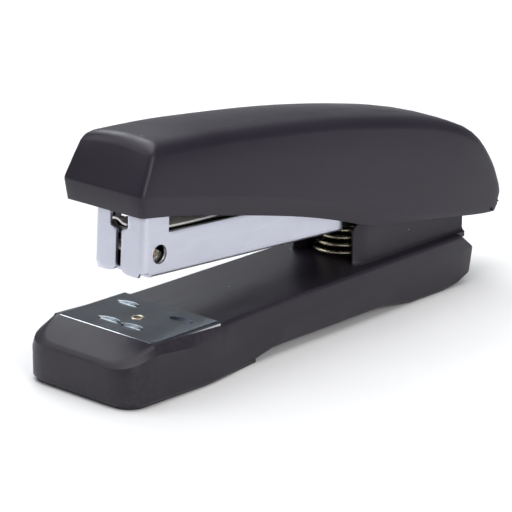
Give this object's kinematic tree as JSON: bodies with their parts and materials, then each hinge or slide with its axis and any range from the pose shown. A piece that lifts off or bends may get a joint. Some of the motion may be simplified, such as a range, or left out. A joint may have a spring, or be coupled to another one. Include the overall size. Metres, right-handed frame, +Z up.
{
  "type": "stapler",
  "caption": "Desktop half-strip stapler: moulded base with a push-up clinching plate, sprung staple magazine, and a hinged cover that drives the staples.",
  "frame": {"origin": "on the table, under the middle of the stapler's overall length and width", "axes": "+Z up; -Y towards the nose, where paper goes in; +X to the right when the nose points at the viewer"},
  "size_m": [0.033, 0.1323, 0.0544],
  "materials": {
    "charcoal_plastic": "satin moulded plastic, very dark charcoal with a navy cast",
    "nickel_steel": "bright nickel plate on folded sheet steel",
    "bare_steel": "zinc-plated steel, slightly brushed",
    "anvil_chrome": "polished chrome plate",
    "brass": "worn brass",
    "pad_rubber": "matt black rubber",
    "black_nylon": "black nylon",
    "spring_wire": "drawn spring steel with a warm tint"
  },
  "bodies": {
    "base": {"base_shell": "charcoal_plastic", "base_plate": "bare_steel", "base_plate_screws": "bare_steel", "front_pad": "pad_rubber", "rear_pad": "pad_rubber", "hinge_bracket": "bare_steel", "bracket_screws": "bare_steel", "pivot_pin": "bare_steel", "pivot_clips": "bare_steel", "base_spring": "spring_wire"},
    "anvil": {"anvil_plate": "anvil_chrome", "anvil_post": "brass", "anvil_button": "black_nylon", "anvil_spring": "spring_wire"},
    "magazine": {"magazine_channel": "nickel_steel", "staple_rail": "bare_steel", "rail_pin": "brass", "rail_rivets": "bare_steel", "guide_rod": "bare_steel", "pusher_spring": "spring_wire", "end_block": "black_nylon", "block_pin": "bare_steel"},
    "follower": {"pusher": "black_nylon"},
    "return_spring": {"return_leaf_spring": "spring_wire", "leaf_bush": "black_nylon"},
    "handle": {"top_cover": "charcoal_plastic", "handle_frame": "bare_steel", "driver_blade": "bare_steel", "driver_rivets": "bare_steel", "leaf_pin": "bare_steel", "cover_screws": "bare_steel"}
  },
  "joints": [
    {"name": "magazine_press", "type": "hinge", "parent": "base", "child": "magazine", "pos_m": [0, 0.0467, 0.026], "axis": [1, 0, 0], "range_deg": [0, 6.5], "stiffness_Nm_per_rad": 1.5, "springref_deg": -8.59, "deforming": ["base_spring"]},
    {"name": "handle_open", "type": "hinge", "parent": "magazine", "child": "return_spring", "pos_m": [0, 0.0467, 0.026], "axis": [-1, 0, 0], "range_deg": [0, 30]},
    {"name": "handle_press", "type": "hinge", "parent": "return_spring", "child": "handle", "pos_m": [0, 0.0467, 0.026], "axis": [1, 0, 0], "range_deg": [0, 4.8], "stiffness_Nm_per_rad": 4, "springref_deg": -8.59, "deforming": ["return_leaf_spring"]},
    {"name": "pusher_slide", "type": "slide", "parent": "magazine", "child": "follower", "axis": [0, 0.9984, -0.0558], "range_m": [0, 0.047], "stiffness_N_per_m": 30, "springref_m": -0.05, "deforming": ["pusher_spring"]},
    {"name": "anvil_lift", "type": "slide", "parent": "base", "child": "anvil", "axis": [0, 0, -1], "range_m": [-0.004, 0], "stiffness_N_per_m": 300, "springref_m": 0.006, "deforming": ["anvil_spring"]}
  ]
}
